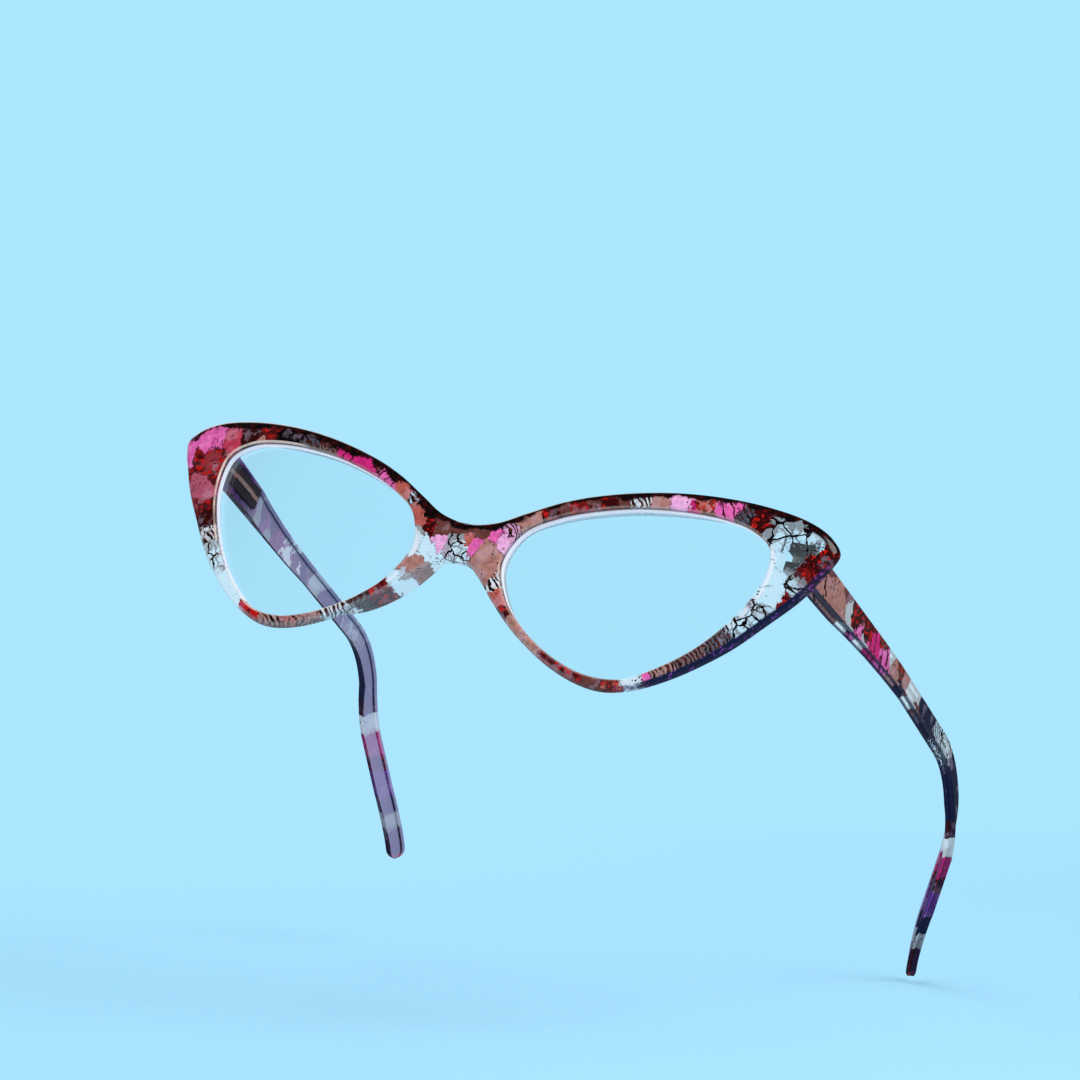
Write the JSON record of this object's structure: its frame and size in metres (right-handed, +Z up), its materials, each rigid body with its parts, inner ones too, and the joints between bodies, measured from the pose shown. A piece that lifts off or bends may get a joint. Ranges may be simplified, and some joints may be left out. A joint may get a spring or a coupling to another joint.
{
  "type": "eyeglasses",
  "caption": "Cat-eye plastic reading glasses: domed front with moulded nose pads, clear lenses and folding spring-hinged temples.",
  "frame": {"origin": "the middle of the whole glasses' box with the temples open, so on the symmetry plane, 67.4 mm behind the front surface of the bridge and 2.9 mm below the middle height of the lens openings", "axes": "+X to the wearer's left, +Y from the front back towards the ears, +Z up, so the front faces -Y"},
  "size_m": [0.14, 0.1348, 0.049],
  "materials": {
    "front_plastic": "gloss print under clear plastic, red, maroon, pink and beige patches",
    "temple_plastic": "gloss print under clear plastic, beige, pink and navy patches",
    "lens": "clear polished plastic",
    "hinge_metal": "satin nickel silver",
    "screw_steel": "turned steel",
    "spring_steel": "drawn wire",
    "housing_metal": "satin pinkish plated box"
  },
  "bodies": {
    "front": {"front_frame": "front_plastic", "lens_left": "lens", "lens_right": "lens", "front_hinge_left": "hinge_metal", "front_hinge_right": "hinge_metal", "hinge_screw_left": "screw_steel", "hinge_screw_right": "screw_steel"},
    "knuckle_left": {"sliding_knuckle_left": "hinge_metal", "spring_stop_left": "screw_steel", "flex_spring_left": "spring_steel"},
    "temple_left": {"temple_left": "temple_plastic", "spring_housing_left": "housing_metal"},
    "knuckle_right": {"sliding_knuckle_right": "hinge_metal", "spring_stop_right": "screw_steel", "flex_spring_right": "spring_steel"},
    "temple_right": {"temple_right": "temple_plastic", "spring_housing_right": "housing_metal"}
  },
  "joints": [
    {"name": "fold_left", "type": "hinge", "parent": "front", "child": "knuckle_left", "pos_m": [0.0611, -0.05598, 0.01658], "axis": [0, 0, 1], "range_deg": [-8, 92]},
    {"name": "flex_slide_left", "type": "slide", "parent": "knuckle_left", "child": "temple_left", "axis": [0.0889, 0.996, 0], "range_m": [0, 0.0012], "stiffness_N_per_m": 3500, "springref_m": -0.0004, "deforming": ["flex_spring_left"]},
    {"name": "fold_right", "type": "hinge", "parent": "front", "child": "knuckle_right", "pos_m": [-0.0611, -0.05598, 0.01658], "axis": [0, 0, -1], "range_deg": [-8, 84]},
    {"name": "flex_slide_right", "type": "slide", "parent": "knuckle_right", "child": "temple_right", "axis": [-0.0889, 0.996, 0], "range_m": [0, 0.0012], "stiffness_N_per_m": 3500, "springref_m": -0.0004, "deforming": ["flex_spring_right"]}
  ]
}
